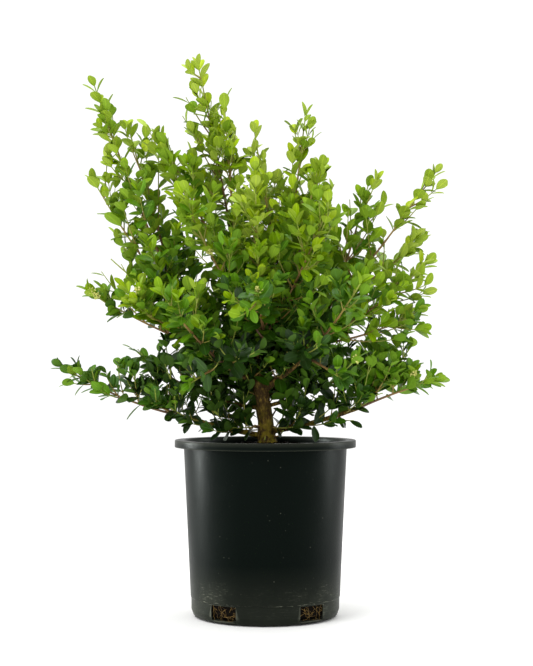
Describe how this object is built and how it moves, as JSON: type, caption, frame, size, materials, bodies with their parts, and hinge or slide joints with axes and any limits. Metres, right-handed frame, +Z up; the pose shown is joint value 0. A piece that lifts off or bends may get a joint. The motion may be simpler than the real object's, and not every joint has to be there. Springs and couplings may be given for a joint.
{
  "type": "potted boxwood",
  "caption": "Small leafy evergreen shrub on a short forked trunk, in a round black nursery pot with a rolled rim and drain windows at its foot.",
  "frame": {"origin": "centre of the pot's flat underside", "axes": "+Z up along the pot's axis; +X to the right and -Y towards the viewer of the side with the two visible drain windows"},
  "size_m": [0.4376, 0.3628, 0.6231],
  "materials": {
    "black_plastic": "moulded black nursery-pot plastic, faint sheen",
    "potting_mix": "crumbly dark brown composted bark",
    "bark": "rough grey-brown bark",
    "leaf_green": "glossy leathery leaf, light yellow-green at the tips and dark green inside"
  },
  "bodies": {
    "root": {"pot": "black_plastic", "potting_mix": "potting_mix", "trunk": "bark", "bough_left_low": "bark", "bough_right_low": "bark", "bough_left_mid": "bark", "bough_right_mid": "bark", "bough_back_left": "bark", "bough_back_right": "bark", "bough_left_up": "bark", "bough_right_up": "bark", "bough_leader": "bark", "bough_front_up": "bark", "bough_back_up": "bark", "bough_centre": "bark", "bough_front_left": "bark", "bough_front_right": "bark", "bough_left_top": "bark", "bough_right_top": "bark", "foliage_left_low": "leaf_green", "foliage_left_low_front": "leaf_green", "foliage_right_low": "leaf_green", "foliage_right_low_up": "leaf_green", "foliage_left_mid": "leaf_green", "foliage_right_inner": "leaf_green", "foliage_back_left_low": "leaf_green", "foliage_back_left": "leaf_green", "foliage_back_right_low": "leaf_green", "foliage_back_right": "leaf_green", "foliage_left_flower": "leaf_green", "foliage_left_front": "leaf_green", "foliage_left_out": "leaf_green", "foliage_left_up": "leaf_green", "foliage_left_top": "leaf_green", "foliage_left_crest": "leaf_green", "foliage_leader": "leaf_green", "foliage_leader_side": "leaf_green", "foliage_crest": "leaf_green", "foliage_right_mid": "leaf_green", "foliage_right_side": "leaf_green", "foliage_right_far": "leaf_green", "foliage_right_out": "leaf_green", "foliage_right_up": "leaf_green", "foliage_right_top": "leaf_green", "foliage_right_crest": "leaf_green", "foliage_centre_top": "leaf_green", "foliage_back_top_left": "leaf_green", "foliage_back_top": "leaf_green", "foliage_back_top_right": "leaf_green", "foliage_back_centre": "leaf_green", "foliage_front_top": "leaf_green", "foliage_front_top_left": "leaf_green", "foliage_front_top_right": "leaf_green", "foliage_front_centre": "leaf_green", "foliage_front_left": "leaf_green", "foliage_front_left_low": "leaf_green", "foliage_front_left_inner": "leaf_green", "foliage_front_right": "leaf_green", "foliage_front_right_low": "leaf_green", "foliage_front_right_inner": "leaf_green"}
  },
  "joints": []
}
